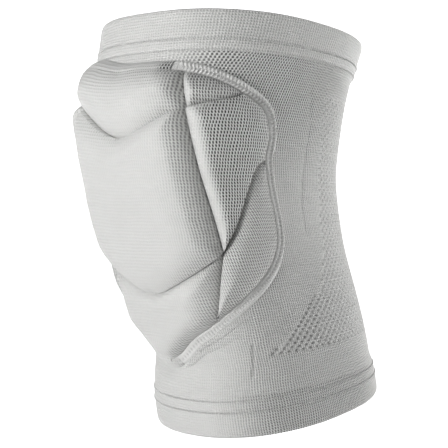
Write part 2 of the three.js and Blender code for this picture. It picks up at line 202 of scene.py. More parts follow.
def on_sleeve(angle, height, out):
    """Points at an angle from the front and a height above the lower rim, moved out of the knit."""
    angle, height, out = np.broadcast_arrays(angle, height, out)
    at = height / SLEEVE_HEIGHT
    half_depth = smooth_at(SECTIONS, at, DEPTH) * KNEE_DEPTH / 2
    half_width = half_depth * smooth_at(SECTIONS, at, WIDE)
    forwards, sideways = np.cos(angle), np.sin(angle)
    ahead = half_depth * np.where(forwards > 0, smooth_at(SECTIONS, at, FRONT), 1)
    power = SQUARENESS
    radius = (np.abs(sideways / half_width) ** power + np.abs(forwards / ahead) ** power) ** (-1 / power)
    x, y = sideways * radius, forwards * radius
    normal_x = np.sign(x) * np.abs(x / half_width) ** (power - 1) / half_width
    normal_y = np.sign(y) * np.abs(y / ahead) ** (power - 1) / ahead
    length = np.hypot(normal_x, normal_y)
    x = x + out * normal_x / length
    y = y + out * normal_y / length
    tilt = LOWER_TILT + (UPPER_TILT - LOWER_TILT) * np.clip(at, 0, 1)
    rise = LEFT_RISE * np.maximum(0, np.cos(angle - RISE_MIDDLE)) ** 2
    return np.stack([
        x,
        (smooth_at(SECTIONS, at, BACK) - MID_BACK) * SHIN_SETBACK - y * np.cos(tilt),
        (at - 0.5) * SLEEVE_HEIGHT + y * np.sin(tilt) + rise,
    ], -1)


def unrolled(wrap_up):
    """A place on the pad as shares, on the unrolled sleeve in mm."""
    wrap_up = np.asarray(wrap_up, float)
    return np.stack([wrap_up[..., 0] * PAD_REACH, PAD_RISE + wrap_up[..., 1] * PAD_HEIGHT], -1)


def worn(flat):
    """A place of the unrolled pad as it is worn, a little askew."""
    up = (flat[..., 1] - PAD_RISE) / PAD_HEIGHT
    swing = 1 - ramp(flat[..., 0], 0, ASKEW_OVER)
    stretch = 1 - ramp(flat[..., 0], -ASKEW_OVER, 0)
    spread = LEFT_SPREAD * np.maximum(0, 1 - np.maximum(up, 0) / SPREAD_UP) ** 2
    x = flat[..., 0] + np.minimum(flat[..., 0], 0) * spread
    x = x - swing * TIP_SWING * np.maximum(0, 1 - up / SWING_UP)
    y = flat[..., 1] + stretch * LEFT_STRETCH * (up - STRETCH_UP) * PAD_HEIGHT
    y = y + LEFT_LIFT * ramp(-flat[..., 0], ASKEW_OVER, LIFT_FROM) * ramp(up, *LIFT_UP)
    return np.stack([x, y], -1)


def raised(flat, out):
    """The same place on the worn sleeve, moved out of it."""
    place = worn(flat)
    return on_sleeve(place[..., 0] / NOMINAL_RADIUS, place[..., 1], out)


def seam(name, first=0, last=None, step=SEAM_STEP):
    """Points along a seam between two of its rows."""
    rows = unrolled(SEAMS[name])
    last = len(rows) - 1 if last is None else last
    points = []
    for row in range(first, last):
        start, end = rows[row], rows[row + 1]
        slope_in = (end - rows[max(row - 1, 0)]) / 2
        slope_out = (rows[min(row + 2, len(rows) - 1)] - start) / 2
        steps = math.ceil(np.linalg.norm(end - start) / step)
        t = (np.arange(steps) / steps)[:, None]
        points.append(
            (2 * start - 2 * end + slope_in + slope_out) * t**3
            + (3 * end - 3 * start - 2 * slope_in - slope_out) * t**2
            + slope_in * t + start
        )
    points.append(rows[last:last + 1])
    return np.concatenate(points)


def mirrored(points):
    """The same path on the left half of the pad, run backwards."""
    return points[::-1] * (-1, 1)


def nearest(points, path):
    """Distance from each point to a path, and how far along the path the nearest place is."""
    start, end = path[:-1], path[1:]
    along = end - start
    length = np.maximum(np.linalg.norm(along, axis=1), 1e-9)
    run = np.concatenate([[0], np.cumsum(length)])
    best = np.full(len(points), np.inf)
    place = np.zeros(len(points))
    for i in range(len(start)):
        t = np.clip((points - start[i]) @ along[i] / length[i] ** 2, 0, 1)
        gap = np.linalg.norm(points - start[i] - t[:, None] * along[i], axis=1)
        closer = gap < best
        best[closer] = gap[closer]
        place[closer] = (run[i] + t * length[i])[closer]
    return best, place


def waves(points, size, seed):
    """Gentle unevenness, about -1 to 1, of a given size in mm."""
    rng = np.random.default_rng(seed)
    total = np.zeros(points.shape[:-1])
    for _ in range(WAVE_COUNT):
        direction = rng.normal(size=points.shape[-1])
        direction /= np.linalg.norm(direction)
        total += np.sin(points @ direction * TURN / (size * rng.uniform(0.7, 1.5)) + rng.uniform(0, TURN))
    return total / (WAVE_COUNT / 2)


def attribute(mesh, name, values):
    """A number for each point of a mesh, for its material."""
    layer = mesh.attributes.new(name, "FLOAT", "POINT")
    layer.data.foreach_set("value", np.asarray(values, np.float32))


def open_and_shade_by_facing(mesh):
    """How far the stitches show open and shaded, 0 to 1, by which way the cloth faces: painted shade where it
    turns across the light, least over the knee and most round the sides.
    """
    normals = np.zeros(len(mesh.vertices) * 3)
    mesh.vertex_normals.foreach_get("vector", normals)
    sideways = normals.reshape(-1, 3)[:, :2]
    level = np.linalg.norm(sideways, axis=1)
    relaxed = np.array([-math.sin(FAINT_DASH_TURN), -math.cos(FAINT_DASH_TURN)])
    facing = np.abs(sideways @ relaxed) / np.maximum(level, 0.01)
    return (1 - ramp(facing, *SHADED_TO_FAINT)) * ramp(level, *UPRIGHT)


def open_and_shade_round(angle):
    """The same by the angle round the sleeve alone."""
    return 1 - ramp(np.abs(np.cos(angle + FAINT_DASH_TURN)), *SHADED_TO_FAINT)


def set_open_and_shade(obj, values):
    """Sets how far the stitches of a piece are open, and how much painted shade darkens their holes, at each
    point.
    """
    obj.data.attributes["open_and_shade"].data.foreach_set("value", np.asarray(values, np.float32))


def piece(name, points, faces, material, uv, uv_faces=None, soil=None):
    """A smooth mesh object from points in mm. uv is in mm too, and the last argument darkens the cloth with
    painted shade, 0 to 1.
    """
    mesh = bpy.data.meshes.new(name)
    mesh.from_pydata((points * MM).tolist(), [], [list(map(int, face)) for face in faces])
    layer = mesh.uv_layers.new(name=CLOTH_MAP)
    corners = np.concatenate([np.asarray(face) for face in (faces if uv_faces is None else uv_faces)])
    layer.data.foreach_set("uv", uv[corners].astype(np.float32).ravel())
    attribute(mesh, "soil", np.zeros(len(points)) if soil is None else soil)
    attribute(mesh, "open_and_shade", open_and_shade_by_facing(mesh))
    mesh.materials.append(material)
    mesh.polygons.foreach_set("use_smooth", [True] * len(mesh.polygons))
    obj = bpy.data.objects.new(name, mesh)
    bpy.context.scene.collection.objects.link(obj)
    return obj


def on_frame(obj, slot, *nodes):
    """Carries a piece on the part's one body, in place of the nodes it covers, which it hides. The slot
    argument is not used.
    """
    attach(obj, "root")
    if nodes:
        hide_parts(*nodes)
    return obj


def strip_faces(columns, rows):
    """Quads of a grid of points, row after row, that closes on itself both ways, and their corners on the
    UV grid, which is one row and one column larger and doesn't close."""
    i, j = np.meshgrid(np.arange(rows), np.arange(columns), indexing="ij")
    i, j = i.ravel(), j.ravel()
    above, beside = i + 1, j + 1
    faces = np.stack([
        i * columns + j, i * columns + beside % columns,
        above % rows * columns + beside % columns, above % rows * columns + j,
    ], 1)
    wide = columns + 1
    corners = np.stack([i * wide + j, i * wide + beside, above * wide + beside, above * wide + j], 1)
    return faces, corners


def ring_quads(near, far, count):
    """Quads between two rings of points, by the number of each ring's first point."""
    here = np.arange(count)
    beside = (here + 1) % count
    return np.stack([near + here, near + beside, far + beside, far + here], 1)


# Materials
# Sizes of noise are per mm of cloth, and heights are shares of the bump's depth
DRIFT_NOISE = 0.12
DRIFT_ACROSS = 1.6
DRIFT_UP = 0.9
HOLE_ACROSS = (0.3, 0.75)
HOLE_UP = (-0.3, 0.6)
UNEVEN_NOISE = 0.9
LEAST_OPEN_AND_SHADE = 0.08
CLOUD_NOISE = 0.035
GREYED = 0.93
# How dark full painted shade makes the cloth
PAINTED_SHADE_LEVEL = 0.45
RIB_HEIGHT = 0.34
HOLE_DEPTH = 0.6
FUZZ_NOISE = 3.0
FUZZ_HEIGHT = 0.35
BUMP_STRENGTH = 0.8


class Nodes:
    """Short names for the nodes of one material."""

    def __init__(self, name):
        self.material = bpy.data.materials.new(name)
        self.material.use_nodes = True
        self.tree = self.material.node_tree
        self.shader = self.tree.nodes["Principled BSDF"]

    def new(self, kind, **values):
        node = self.tree.nodes.new("ShaderNode" + kind)
        for key, value in values.items():
            setattr(node, key, value)
        return node

    def put(self, socket, value):
        if isinstance(value, bpy.types.NodeSocket):
            self.tree.links.new(value, socket)
        else:
            socket.default_value = value

    def math(self, operation, *values):
        node = self.new("Math", operation=operation)
        for socket, value in zip(node.inputs, values):
            self.put(socket, value)
        return node.outputs[0]

    def step(self, value, low, high):
        node = self.new("MapRange", interpolation_type="SMOOTHSTEP")
        self.put(node.inputs["Value"], value)
        node.inputs["From Min"].default_value = low
        node.inputs["From Max"].default_value = high
        return node.outputs["Result"]

    def noise(self, vector, scale, detail=2.0):
        node = self.new("TexNoise")
        self.put(node.inputs["Vector"], vector)
        node.inputs["Scale"].default_value = scale
        node.inputs["Detail"].default_value = detail
        return node.outputs["Fac"]

    def blend(self, share, first, second):
        node = self.new("Mix", data_type="RGBA")
        self.put(node.inputs["Factor"], share)
        self.put(node.inputs["A"], first)
        self.put(node.inputs["B"], second)
        return node.outputs["Result"]


def wave(nodes, place, period):
    """1 on the crests and 0 between them, along a coordinate in mm."""
    angle = nodes.math("MULTIPLY", place, TURN / period)
    return nodes.math("MULTIPLY_ADD", nodes.math("COSINE", angle), 0.5, 0.5)


def stitch_pattern(nodes, cloth, wale, course, slant):
    """The rows of stitches, 1 on their crests, and the holes between the stitches, 1 in their middle."""
    parts = nodes.new("SeparateXYZ")
    nodes.put(parts.inputs[0], cloth)
    drift = nodes.math("SUBTRACT", nodes.noise(cloth, DRIFT_NOISE, 1.0), 0.5)
    u = nodes.math("MULTIPLY_ADD", drift, DRIFT_ACROSS, parts.outputs["X"])
    v = nodes.math("MULTIPLY_ADD", drift, DRIFT_UP, parts.outputs["Y"])
    lean = nodes.math("MULTIPLY", nodes.math("FRACT", nodes.math("DIVIDE", v, course)), slant * wale)
    columns = wave(nodes, nodes.math("ADD", u, lean), wale)
    rows = wave(nodes, nodes.math("ADD", v, course * 0.5), course)
    return rows, nodes.math("MULTIPLY", nodes.step(columns, *HOLE_ACROSS), nodes.step(rows, *HOLE_UP))


def cloth_colour(nodes, cloth, colour, dashes, hole_shade):
    """The yarn's white, a little greyed in clouds, dark in the open holes, and darkened with painted shade in
    creases, grooves and hollows.
    """
    soil = nodes.new("Attribute", attribute_name="soil").outputs["Fac"]
    light, greyed, shade, painted_dark = (
        (*(share * channel for channel in colour), 1) for share in (1, GREYED, hole_shade, PAINTED_SHADE_LEVEL)
    )
    base = nodes.blend(nodes.noise(cloth, CLOUD_NOISE, 3.0), light, greyed)
    base = nodes.blend(nodes.math("MINIMUM", dashes, 1.0), base, shade)
    return nodes.blend(nodes.math("MINIMUM", soil, 1.0), base, painted_dark)


def cloth_bump(nodes, cloth, rows, holes, pulled, depth):
    """Ribs along the rows of stitches, pits at the holes and fuzz over both."""
    rib = nodes.math("MULTIPLY", nodes.math("SUBTRACT", 1.0, rows), RIB_HEIGHT)
    height = nodes.math("SUBTRACT", rib, nodes.math("MULTIPLY", holes, HOLE_DEPTH))
    height = nodes.math("MULTIPLY", height, nodes.math("MULTIPLY_ADD", pulled, 0.5, 0.5))
    fuzz = nodes.math("MULTIPLY", nodes.noise(cloth, FUZZ_NOISE, 3.0), FUZZ_HEIGHT)
    bump = nodes.new("Bump")
    bump.inputs["Strength"].default_value = BUMP_STRENGTH
    bump.inputs["Distance"].default_value = depth * MM
    nodes.put(bump.inputs["Height"], nodes.math("ADD", height, fuzz))
    return bump.outputs["Normal"]


def knit_material(name, colour, wale=WALE, course=COURSE, slant=0.35, depth=0.8, hole_shade=0.18):
    """White knit: rows of slanted stitches with small dark holes between, a little uneven and fuzzy."""
    nodes = Nodes(name)
    cloth = nodes.new("UVMap", uv_map=CLOTH_MAP).outputs["UV"]
    rows, holes = stitch_pattern(nodes, cloth, wale, course, slant)
    uneven = nodes.math("MULTIPLY_ADD", nodes.noise(cloth, UNEVEN_NOISE), 0.7, 0.75)
    # How open the stitches are, and how much painted shade darkens their holes where the cloth turns from the
    # light; it scales the holes' colour and the bump
    pulled = nodes.new("Attribute", attribute_name="open_and_shade").outputs["Fac"]
    pulled = nodes.math("MULTIPLY_ADD", pulled, 1 - LEAST_OPEN_AND_SHADE, LEAST_OPEN_AND_SHADE)
    dashes = nodes.math("MULTIPLY", nodes.math("MULTIPLY", holes, uneven), pulled)
    sockets = nodes.shader.inputs
    nodes.put(sockets["Base Color"], cloth_colour(nodes, cloth, colour, dashes, hole_shade))
    nodes.put(sockets["Normal"], cloth_bump(nodes, cloth, rows, holes, pulled, depth))
    nodes.put(sockets["Roughness"], nodes.math("MULTIPLY_ADD", nodes.noise(cloth, 0.5), 0.12, 0.84))
    sockets["Specular IOR Level"].default_value = 0.2
    sockets["Sheen Weight"].default_value = 0.25
    sockets["Sheen Roughness"].default_value = 0.5
    return nodes.material


WHITE = (0.82, 0.82, 0.805)
KNIT = knit_material("knit", WHITE)
CUFF = knit_material("cuff", WHITE, wale=1.36, course=1.32, slant=0.4, hole_shade=0.3)
PAD = knit_material("pad", (0.83, 0.83, 0.815), wale=1.14, course=1.5, slant=0.35, hole_shade=0.05)
WELT = knit_material("welt", (0.85, 0.85, 0.835), wale=1.1, course=1.6, depth=0.3, hole_shade=0.85)
THREAD = knit_material("thread", (0.9, 0.9, 0.89), wale=0.5, course=0.5, depth=0.1, hole_shade=0.85)


# Lobes of the pad
def pad_thickness(flat):
    """How far the foam stands out of the knit at each place, before its seams."""
    wrap = np.abs(flat[:, 0]) / PAD_REACH
    up = (flat[:, 1] - PAD_RISE) / PAD_HEIGHT
    return PAD_THICKNESS * smooth_at(THICK_ALONG, up) * smooth_at(THICK_ACROSS, wrap)


# The cover beside the welt: how far in it ends, how high it stands there, and how high where it hides the
# welt along the pad's top and at its tip
WELT_INSET = WELT_WIDTH / 2 + 0.05
WELT_EDGE_HEIGHT = 1.2
HIDDEN_AT_TOP = 8.3
HIDDEN_AT_TIP = 5.0

# Where the welt is hidden, in shares of the pad's wrap and height, as the two ends of each soft limit
HIDDEN_TOP_LEFT, HIDDEN_TOP_RIGHT, HIDDEN_TOP_UP = (-0.98, -0.7), (0.27, 0.43), (0.6, 0.8)
HIDDEN_TIP_LEFT, HIDDEN_TIP_RIGHT, HIDDEN_TIP_DOWN = (-0.64, -0.36), (-0.1, 0.24), (-0.3, -0.2)


def hidden_welt(flat):
    """1 where the cover runs smoothly over the welt, along the pad's top and at its tip, and 0 elsewhere."""
    wrap, up = flat[..., 0] / PAD_REACH, (flat[..., 1] - PAD_RISE) / PAD_HEIGHT
    top = (1 - ramp(wrap, *HIDDEN_TOP_RIGHT)) * ramp(wrap, *HIDDEN_TOP_LEFT) * ramp(up, *HIDDEN_TOP_UP)
    tip = (1 - ramp(wrap, *HIDDEN_TIP_RIGHT)) * ramp(wrap, *HIDDEN_TIP_LEFT) * ramp(-up, *HIDDEN_TIP_DOWN)
    return np.maximum(top, tip)


def hidden_height(flat):
    """How high the cover stands where it leaves the hidden welt."""
    return np.where(flat[..., 1] > PAD_RISE + PAD_HEIGHT / 2, HIDDEN_AT_TOP, HIDDEN_AT_TIP)


def lobe_sides(rows):
    """Each side of a lobe as its path, how far the cover stays from it, the height left and the roll."""
    sides = []
    for row in rows:
        if len(row) == 2:
            path = seam("welt", WELT_ROWS[row[0]], WELT_ROWS[row[1]])
            roll = TIP_SIDE_ROLL if row[1] == "tip" else WELT_SIDE_ROLL
            sides.append((path, WELT_INSET, None, roll, 0.0))
        else:
            name, level, roll, painted_dark, backwards = row
            path = seam(name)
            sides.append((path[::-1] if backwards else path, SEAM_GAP / 2, level, roll, painted_dark))
    return sides


def mirrored_sides(sides):
    """The same sides on the left half of the pad."""
    return [(mirrored(path), *rest) for path, *rest in reversed(sides)]


CUT_SLACK = 0.02
LEAST_STEP = 0.2


def lobe_outline(sides):
    """The lobe's outline, each side moved in by its own distance and cut where the next one begins."""
    loop = np.concatenate([path[:-1] for path, *_ in sides])
    after = np.roll(loop, -1, axis=0)
    area = np.sum(loop[:, 0] * after[:, 1] - after[:, 0] * loop[:, 1])
    kept = []
    for path, gap, *_ in sides:
        along = np.gradient(path, axis=0)
        along /= np.linalg.norm(along, axis=1)[:, None]
        moved = path + np.sign(area) * gap * np.stack([-along[:, 1], along[:, 0]], 1)
        clear = np.ones(len(moved), bool)
        for other, other_gap, *_ in sides:
            clear &= nearest(moved, other)[0] > other_gap - CUT_SLACK
        kept.append(moved[clear])
    outline = np.concatenate(kept)
    step = np.linalg.norm(outline - np.roll(outline, 1, axis=0), axis=1)
    return outline[step > LEAST_STEP]


# Gathers beside the seams, the painted shade in their creases, and the gentle unevenness of the covers
PUCKER_HEIGHT = 0.14
PUCKER_PITCH = 3.4
PUCKER_WANDER = 1.4
PUCKER_FADE = 2.4
CREASE_SHADE_FADE = 1.1
SOFT_HEIGHT = 0.22
SOFT_SIZE = 26
FINE_HEIGHT = 0.07
FINE_SIZE = 9


def lobe_surface(flat, sides, lift, seed):
    """How far the cover stands out of the knit at each place, and the painted shade in the creases of its
    seams.
    """
    full = pad_thickness(flat) * lift
    deficit = np.zeros(len(flat))
    pucker = np.zeros(len(flat))
    painted_crease_shade = np.zeros(len(flat))
    for path, gap, level, roll, painted_dark in sides:
        distance, place = nearest(flat, path)
        distance = np.maximum(distance - gap, 0)
        edge_height = WELT_EDGE_HEIGHT + (hidden_height(flat) - WELT_EDGE_HEIGHT) * hidden_welt(flat)
        left = edge_height / full if level is None else level
        left = np.clip(left, 0.05, 0.97)
        start = 1 - np.sqrt(1 - left**2)
        t = start + (1 - start) * np.clip(distance / roll, 0, 1)
        deficit += (1 - np.sqrt(1 - (1 - t) ** 2)) ** 3
        gathers = np.sin(place * TURN / PUCKER_PITCH + waves(flat, FINE_SIZE, seed) * PUCKER_WANDER)
        pucker += PUCKER_HEIGHT * np.exp(-distance / PUCKER_FADE) * gathers
        painted_crease_shade = np.maximum(painted_crease_shade, painted_dark * np.exp(-distance / CREASE_SHADE_FADE))
    deficit = np.minimum(deficit ** (1 / 3), 0.95)
    soft = SOFT_HEIGHT * waves(flat, SOFT_SIZE, seed + 1) + FINE_HEIGHT * waves(flat, FINE_SIZE, seed + 2)
    inside = ramp(1 - deficit, 0.3, 0.9)
    return SEAT_GAP + full * (1 - deficit) + pucker + soft * inside, painted_crease_shade


# How far the columns of stitches lean on each lobe, across per millimetre upwards on its right half, and
# how that grows above PULLED_FROM
LEAN = {"pad_side": (-0.15, 0), "pad_lower": (0.14, 0.012), "pad_bottom": (0.15, 0)}
PULLED_FROM = 85
# How far the stitches of a lobe open and darken with painted shade, and the distances from the pad's middle
# line, in mm, between which they come to do so however the lobe faces
LOBE_OPEN_AND_SHADE = {
    "pad_top": (0.5, 90, 99), "pad_centre": (0.45, 90, 99), "pad_bottom": (0.45, 20, 36),
    "pad_upper": (0.75, 90, 99), "pad_side": (0.92, 90, 99), "pad_lower": (0.65, 30, 46),
}


def leaning(name, flat):
    """The same places with the columns leaning, for the cloth's pattern."""
    lean, growth = next((row for key, row in LEAN.items() if name.startswith(key)), (0, 0))
    up = flat[:, 1] - PAD_RISE
    shift = lean * up + growth / 2 * np.maximum(flat[:, 1] - PULLED_FROM, 0) ** 2
    return np.stack([flat[:, 0] + shift * np.clip(flat[:, 0] / 15, -1, 1), flat[:, 1]], 1)


# Rings of a lobe's cover: distances in from its outline, the step after them, and the shares of its back
EDGE_DEPTHS = np.array([0, 0.04, 0.16, 0.4, 0.75, 1.2, 1.8, 2.6, 3.6, 4.8, 6.2, 7.8, 9.5])
INNER_STEP = 1.7
BACK_SHARES = np.array([0, 0.06, 0.2, 0.45, 0.75])


def lobe_rings(outline, centre):
    """Places of the cover's front and of its back, ring after ring from the outline in to the centre."""
    spoke = centre - outline
    reach = np.linalg.norm(spoke, axis=1)
    halfway = 0.5 * EDGE_DEPTHS[:, None] / EDGE_DEPTHS[-1] + 0.002
    edge = np.minimum(EDGE_DEPTHS[:, None] / reach, halfway)
    steps = math.ceil((reach.max() - EDGE_DEPTHS[-1]) / INNER_STEP)
    t = (np.arange(1, steps) / steps)[:, None]
    front_shares = np.concatenate([edge, edge[-1] + (1 - edge[-1]) * t])
    return [
        np.concatenate([(outline + spoke * shares[..., None]).reshape(-1, 2), centre[None]])
        for shares in (front_shares, BACK_SHARES[:, None])
    ]


def lobe_faces(count, rings):
    """Faces of a closed cover: rings of its front, rings of its back, and a fan to the middle of each."""
    back = rings * count + 1
    blocks = [ring_quads(ring * count, (ring + 1) * count, count) for ring in range(rings - 1)]
    for ring in range(len(BACK_SHARES) - 1):
        blocks.append(ring_quads(back + (ring + 1) * count, back + ring * count, count))
    blocks.append(ring_quads(back, 0, count))
    tip, tip_back = rings * count, back + len(BACK_SHARES) * count
    last, last_back = tip - count, tip_back - count
    fans = [(last + i, last + (i + 1) % count, tip) for i in range(count)]
    fans += [(last_back + (i + 1) % count, last_back + i, tip_back) for i in range(count)]
    return [tuple(face) for block in blocks for face in block] + fans


def make_lobe(name, middle, lift, sides, seed):
    """The closed cover of one lobe, with its stitches as open, and their holes as darkened by painted shade,
    as they are on that lobe.
    """
    outline = lobe_outline(sides)
    front, back = lobe_rings(outline, unrolled(middle))
    out, painted_crease_shade = lobe_surface(front, sides, lift, seed)
    points = np.concatenate([raised(front, out), raised(back, SEAT_GAP)])
    faces = lobe_faces(len(outline), len(front) // len(outline))
    flat = np.concatenate([front, back])
    soil = np.concatenate([painted_crease_shade, np.zeros(len(back))])
    obj = piece(name, points, faces, PAD, leaning(name, flat), soil=soil)
    share, pulled_from, pulled_to = next(row for key, row in LOBE_OPEN_AND_SHADE.items() if name.startswith(key))
    pulled = ramp(np.abs(flat[:, 0]), pulled_from, pulled_to)
    set_open_and_shade(obj, share * np.maximum(open_and_shade_by_facing(obj.data), pulled))
    return obj


SEED_STEP = 7
RIGHT_SEED = 31
LEFT_SEED = 61


def lobes():
    """The covers of all the lobes: those over the pad's middle, then the ones beside them in pairs."""
    made = []
    for number, (name, (middle, lift, rows)) in enumerate(FRONT_LOBES.items()):
        sides = lobe_sides(rows)
        made.append((name, middle, lift, sides + mirrored_sides(sides), number * SEED_STEP))
    for number, (name, (middle, lift, rows)) in enumerate(SIDE_LOBES.items()):
        sides = lobe_sides(rows)
        left = (-middle[0], middle[1])
        made.append((name + "_right", middle, lift, sides, RIGHT_SEED + number * SEED_STEP))
        made.append((name + "_left", left, lift, mirrored_sides(sides), LEFT_SEED + number * SEED_STEP))
    for name, *rest in made:
        lobe = on_frame(make_lobe(name + "_cover", *rest), "pad", name)
        outwards(lobe)


def outwards(obj):
    """Turns the faces of a closed mesh outwards."""
    shape = bmesh.new()
    shape.from_mesh(obj.data)
    if shape.calc_volume(signed=True) < 0:
        bmesh.ops.reverse_faces(shape, faces=shape.faces)
    shape.to_mesh(obj.data)
    shape.free()


# Stitches
THREAD_RINGS = 5
THREAD_SIDES = 5


def thread_faces(threads):
    """Faces of threads of a few rings each, with both ends closed."""
    size = THREAD_RINGS * THREAD_SIDES
    starts = range(0, size - THREAD_SIDES, THREAD_SIDES)
    tube = np.concatenate([ring_quads(start, start + THREAD_SIDES, THREAD_SIDES) for start in starts])
    end = np.arange(THREAD_SIDES)
    faces = [tuple(face + size * n) for n in range(threads) for face in tube]
    faces += [tuple(size * n + THREAD_SIDES - 1 - end) for n in range(threads)]
    faces += [tuple(size * n + size - THREAD_SIDES + end) for n in range(threads)]
    return faces


def stitches(name, middles, along, across, out, length, width, height, thick, slot="cuff"):
    """Short threads bent over the cloth, one at each middle, joined as one mesh."""
    t = np.linspace(0, 1, THREAD_RINGS)
    lean = (t - 0.5)[None, :, None]
    bow = np.sin(np.pi * t)[None, :, None]
    path = length * along + width * across
    spine = middles[:, None] + lean * path[:, None] + (height * bow - 0.25 * height) * out[:, None]
    path /= np.linalg.norm(path, axis=1)[:, None]
    side = np.cross(path, out)
    turn = np.arange(THREAD_SIDES) / THREAD_SIDES * TURN
    girth = thick / 2 * (0.45 + 0.55 * np.sin(np.pi * t))[None, :, None, None]
    ring = np.cos(turn)[:, None] * side[:, None, None] + np.sin(turn)[:, None] * out[:, None, None]
    points = (spine[:, :, None] + girth * ring).reshape(-1, 3)
    count = len(middles)
    uv = np.stack([np.tile(np.repeat(t * 3, THREAD_SIDES), count), np.tile(turn, THREAD_RINGS * count)], 1)
    obj = piece(name, points, thread_faces(count), THREAD, uv)
    outwards(obj)
    return on_frame(obj, slot)


# The welt
# Across it: distance from its middle line, height where it stands out, and where it is hidden, as a share
WELT_PROFILE = np.array([
    (-2.3, 0.0, 0.0), (-2.37, 0.9, 0.97), (-2.33, 1.05, 0.975), (-2.0, 1.35, 0.95), (-1.45, 1.6, 0.9),
    (-0.9, 1.55, 0.84), (-0.5, 1.25, 0.78), (0.0, 1.05, 0.72), (0.5, 1.25, 0.63), (0.9, 1.5, 0.55),
    (1.45, 1.35, 0.41), (2.0, 0.8, 0.21), (2.33, 0.35, 0.06), (2.37, 0.25, 0.05), (2.3, 0.0, 0.0),
])
WELT_STEP = 0.55
WELT_STITCH = 1.9
WELT_RIDGE = 1.1  # distance of each ridge from the middle line
GROOVE_WIDTH = 0.7

# The welt stands out fully above the second of these heights over the pad's tip, and least below the first
LOW_WELT, WELT_GAIN = 0.45, 0.55
WELT_GROWS = (8, 62)

# Its two rows of thread: a braid above and plain stitches below
BRAID = {"pitch": 1.75, "reach": 2.3, "lift": 1.7, "thick": 0.85, "slant": 1.1}
PLAIN = {"pitch": WELT_STITCH, "reach": 1.2, "lift": 1.4, "thick": 0.55, "slant": 0.6}
BRAID_STAGGER = 0.8

# Where the rows begin and end, as places on the right half of the pad: the braid's top and foot, the stitch
# nearest the tip, and then, mirrored to the left half, the stitch nearest the tip and the braid's top
WELT_PLACES = [(0.4, 0.992), (0.97, 0.8), (0.2, 0.078), (0.58, 0.197), (0.85, 0.89)]


def welt_loop(step):
    """The welt's middle line all round the unrolled pad."""
    half = seam("welt", step=step)
    return np.concatenate([half, mirrored(half)[1:-1]])


def path_frame(path):
    """Unit vectors across a closed path of the unrolled pad, and the run so far."""
    along = np.roll(path, -1, axis=0) - np.roll(path, 1, axis=0)
    along /= np.linalg.norm(along, axis=1)[:, None]
    steps = np.linalg.norm(np.roll(path, -1, axis=0) - path, axis=1)
    run = np.concatenate([[0], np.cumsum(steps)])
    return np.stack([-along[:, 1], along[:, 0]], 1), run


def welt_high_up(height):
    """0 near the pad's tip and 1 from where the welt stands out fully."""
    return ramp(height, PAD_RISE + WELT_GROWS[0], PAD_RISE + WELT_GROWS[1])


def welt_band(path, across, run):
    """The welt itself: two ridges with painted shade at the stitches between, or smooth pad cloth where it is
    hidden.
    """
    flat = path + across * WELT_PROFILE[:, :1, None]
    hidden = hidden_welt(path)
    beat = 0.5 + 0.5 * np.cos(run[:-1] * TURN / WELT_STITCH)
    high_up = welt_high_up(path[:, 1])
    standing = WELT_PROFILE[:, 1:2] * (1.15 - 0.3 * beat) * (LOW_WELT + WELT_GAIN * high_up)
    high = standing * (1 - hidden) + WELT_PROFILE[:, 2:] * hidden_height(path) * hidden
    points = raised(flat, SEAT_GAP + high).reshape(-1, 3)
    faces, corners = strip_faces(len(path), len(WELT_PROFILE))
    uv = np.stack(np.broadcast_arrays(run, np.append(WELT_PROFILE[:, 0], 3)[:, None]), -1)
    closed_flat = np.concatenate([flat, flat[:1]])
    closed_flat = np.concatenate([closed_flat, closed_flat[:, :1]], 1)
    smooth = np.append(hidden, hidden[0]) > 0.5
    uv[:, smooth] = closed_flat[:, smooth]
    # Painted shade at each stitch in the groove between the ridges, stronger towards the tip, and the welt a
    # little greyer towards the tip
    low_marks = 0.6 + 0.35 * (1 - high_up)
    soil = low_marks * np.exp(-(WELT_PROFILE[:, :1] / GROOVE_WIDTH) ** 2) * beat**2 * (1 - hidden)
    soil = soil + 0.1 * (1 - high_up) * (1 - hidden)
    obj = piece("welt_band", points, faces, WELT, uv.reshape(-1, 2), corners, soil.ravel())
    obj.data.materials.append(PAD)
    obj.data.polygons.foreach_set("material_index", np.tile(smooth[:-1], len(WELT_PROFILE)).astype(int))
    outwards(obj)
    on_frame(obj, "welt", "pad_welt")


def along_welt(name, path, across, run, marks, shift, reach, lift, thick, slant):
    """Threads over the welt at these marks of its run, all leaning one way."""
    closed = np.concatenate([path, path[:1]])
    heights = np.interp(marks, run, closed[:, 1])
    lift = lift * (LOW_WELT + WELT_GAIN * welt_high_up(heights))
    at = np.stack([np.interp(marks, run, closed[:, k]) for k in (0, 1)], 1)
    side = np.stack([np.interp(marks, run[:-1], across[:, k]) for k in (0, 1)], 1)
    ahead = np.stack([np.interp(marks + 0.3, run, closed[:, k]) for k in (0, 1)], 1) + side * shift
    at = at + side * shift
    middles = raised(at, SEAT_GAP + lift)
    on = raised(ahead, SEAT_GAP + lift) - middles
    on /= np.linalg.norm(on, axis=1)[:, None]
    out = raised(at, SEAT_GAP + lift + 1) - middles
    stitches(name, middles, on, np.cross(on, out), out, slant, reach, 0.35, thick, "welt")


